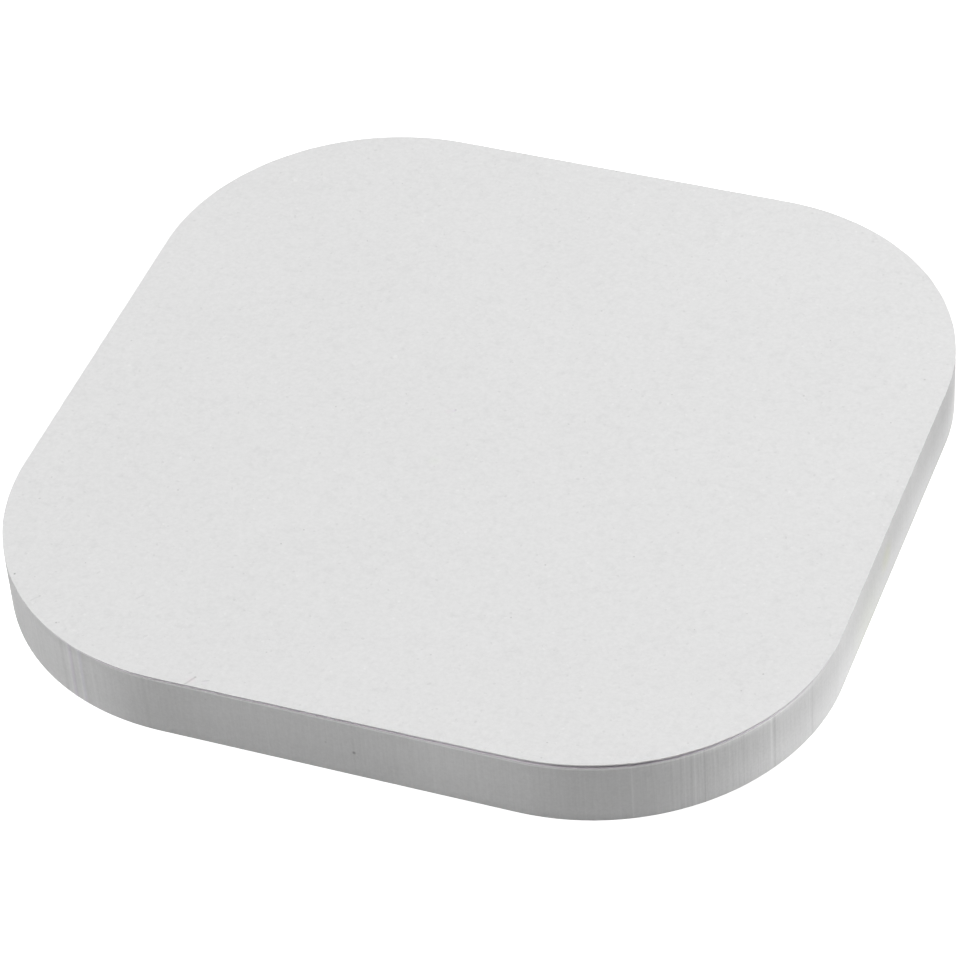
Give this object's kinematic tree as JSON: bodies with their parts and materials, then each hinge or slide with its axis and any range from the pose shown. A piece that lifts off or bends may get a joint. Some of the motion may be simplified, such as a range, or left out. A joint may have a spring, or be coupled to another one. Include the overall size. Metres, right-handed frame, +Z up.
{
  "type": "sticky note pad",
  "caption": "Square pad of plain white sticky notes with large round corners, its top note curling up slightly along the front.",
  "frame": {"origin": "centre of the underside, on the surface that the pad lies on", "axes": "+Z up through the stack, -Y towards the front edge where the top note lifts, +Y towards the glued back edge"},
  "size_m": [0.072, 0.072, 0.0063],
  "materials": {
    "note_paper": "uncoated white note paper, matt, with fine fibres",
    "liner_paper": "smooth coated white liner paper, faintly glossy"
  },
  "bodies": {
    "root": {"backing_liner": "liner_paper", "note_block": "note_paper", "top_note": "note_paper"}
  },
  "joints": []
}
